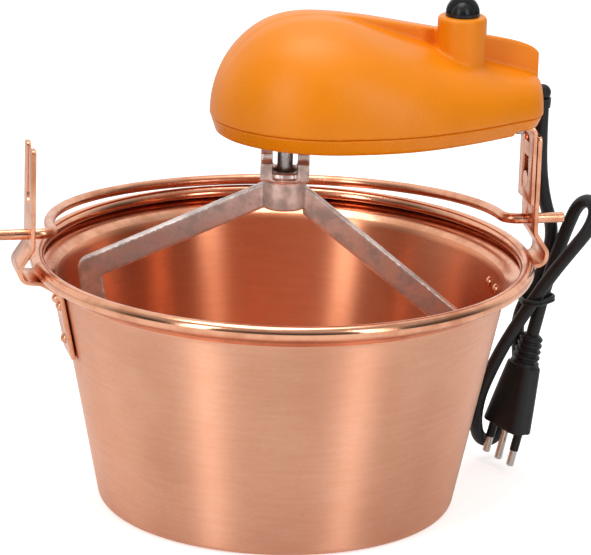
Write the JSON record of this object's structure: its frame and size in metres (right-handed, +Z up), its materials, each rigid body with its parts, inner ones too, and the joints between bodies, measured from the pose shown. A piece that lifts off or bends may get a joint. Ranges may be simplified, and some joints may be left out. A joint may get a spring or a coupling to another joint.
{
  "type": "electric polenta maker",
  "caption": "Tapered copper kettle with wired rim, ear straps and bail handle; an orange motor head hangs on one ear and turns a cast paddle inside; mains cord with plug hangs behind.",
  "frame": {"origin": "centre of the kettle's flat base, on the surface it stands on", "axes": "+Z up along the kettle's axis and the shaft; +X towards the ear that carries the motor head"},
  "size_m": [0.3212, 0.26, 0.2674],
  "materials": {
    "copper": "brushed spun copper",
    "orange_plastic": "fine spark-eroded grain, moulded in colour",
    "black_plastic": "satin moulded",
    "white_plastic": "natural nylon",
    "steel": "turned or pressed, plain",
    "plated_steel": "nickel plated",
    "bronze": "sintered bronze",
    "winding": "enamelled winding",
    "aluminium": "sand cast and tumbled",
    "rubber": "soft black PVC"
  },
  "bodies": {
    "kettle": {"kettle_pan": "copper", "rim_wire": "steel", "ear_strap_right": "copper", "ear_strap_left": "copper", "ear_rivets_right": "copper", "ear_rivets_left": "copper"},
    "motor_head": {"head_shell": "orange_plastic", "head_cover": "orange_plastic", "motor_bracket": "copper", "bracket_keeper": "copper", "bracket_screws": "steel", "cover_screws": "steel", "switch_body": "black_plastic", "idler_axle": "steel", "motor_can": "steel", "stator_coil": "winding", "gear_plate": "steel", "gear_posts": "steel", "shaft_bush": "bronze", "shaft_seal": "rubber", "terminal_block": "white_plastic", "cord_clamp": "white_plastic", "cord_elbow": "rubber", "power_cord": "rubber", "cord_tie": "rubber", "plug_body": "rubber", "plug_pins": "plated_steel", "plug_sleeves": "black_plastic"},
    "bail": {"bail_handle": "copper"},
    "selector": {"selector_knob": "black_plastic"},
    "paddle_drive": {"output_shaft": "steel", "output_gear": "white_plastic", "shaft_circlip": "steel", "cross_pin": "steel", "paddle": "aluminium"},
    "idler": {"idler_gear": "white_plastic"},
    "rotor": {"motor_rotor": "steel"}
  },
  "joints": [
    {"name": "motor_lift", "type": "slide", "parent": "kettle", "child": "motor_head", "axis": [0, 0, 1], "range_m": [0, 0.03]},
    {"name": "bail_swing", "type": "hinge", "parent": "kettle", "child": "bail", "pos_m": [0, 0, 0.1465], "axis": [1, 0, 0], "range_deg": [0, 60]},
    {"name": "switch_turn", "type": "hinge", "parent": "motor_head", "child": "selector", "pos_m": [0.0888, -0.006, 0.257], "axis": [0, 0, 1], "range_deg": [0, 90]},
    {"name": "paddle_spin", "type": "hinge", "parent": "motor_head", "child": "paddle_drive", "pos_m": [0, 0, 0.2], "axis": [0, 0, 1], "continuous": true},
    {"name": "idler_spin", "type": "hinge", "parent": "motor_head", "child": "idler", "pos_m": [0.03, 0, 0.22], "axis": [0, 0, 1], "continuous": true},
    {"name": "rotor_spin", "type": "hinge", "parent": "motor_head", "child": "rotor", "pos_m": [0.057, 0, 0.22], "axis": [0, 0, 1], "continuous": true}
  ],
  "couplings": [
    {"joint": "idler_spin", "follows": "paddle_spin", "ratio": -4},
    {"joint": "rotor_spin", "follows": "paddle_spin", "ratio": 14}
  ]
}
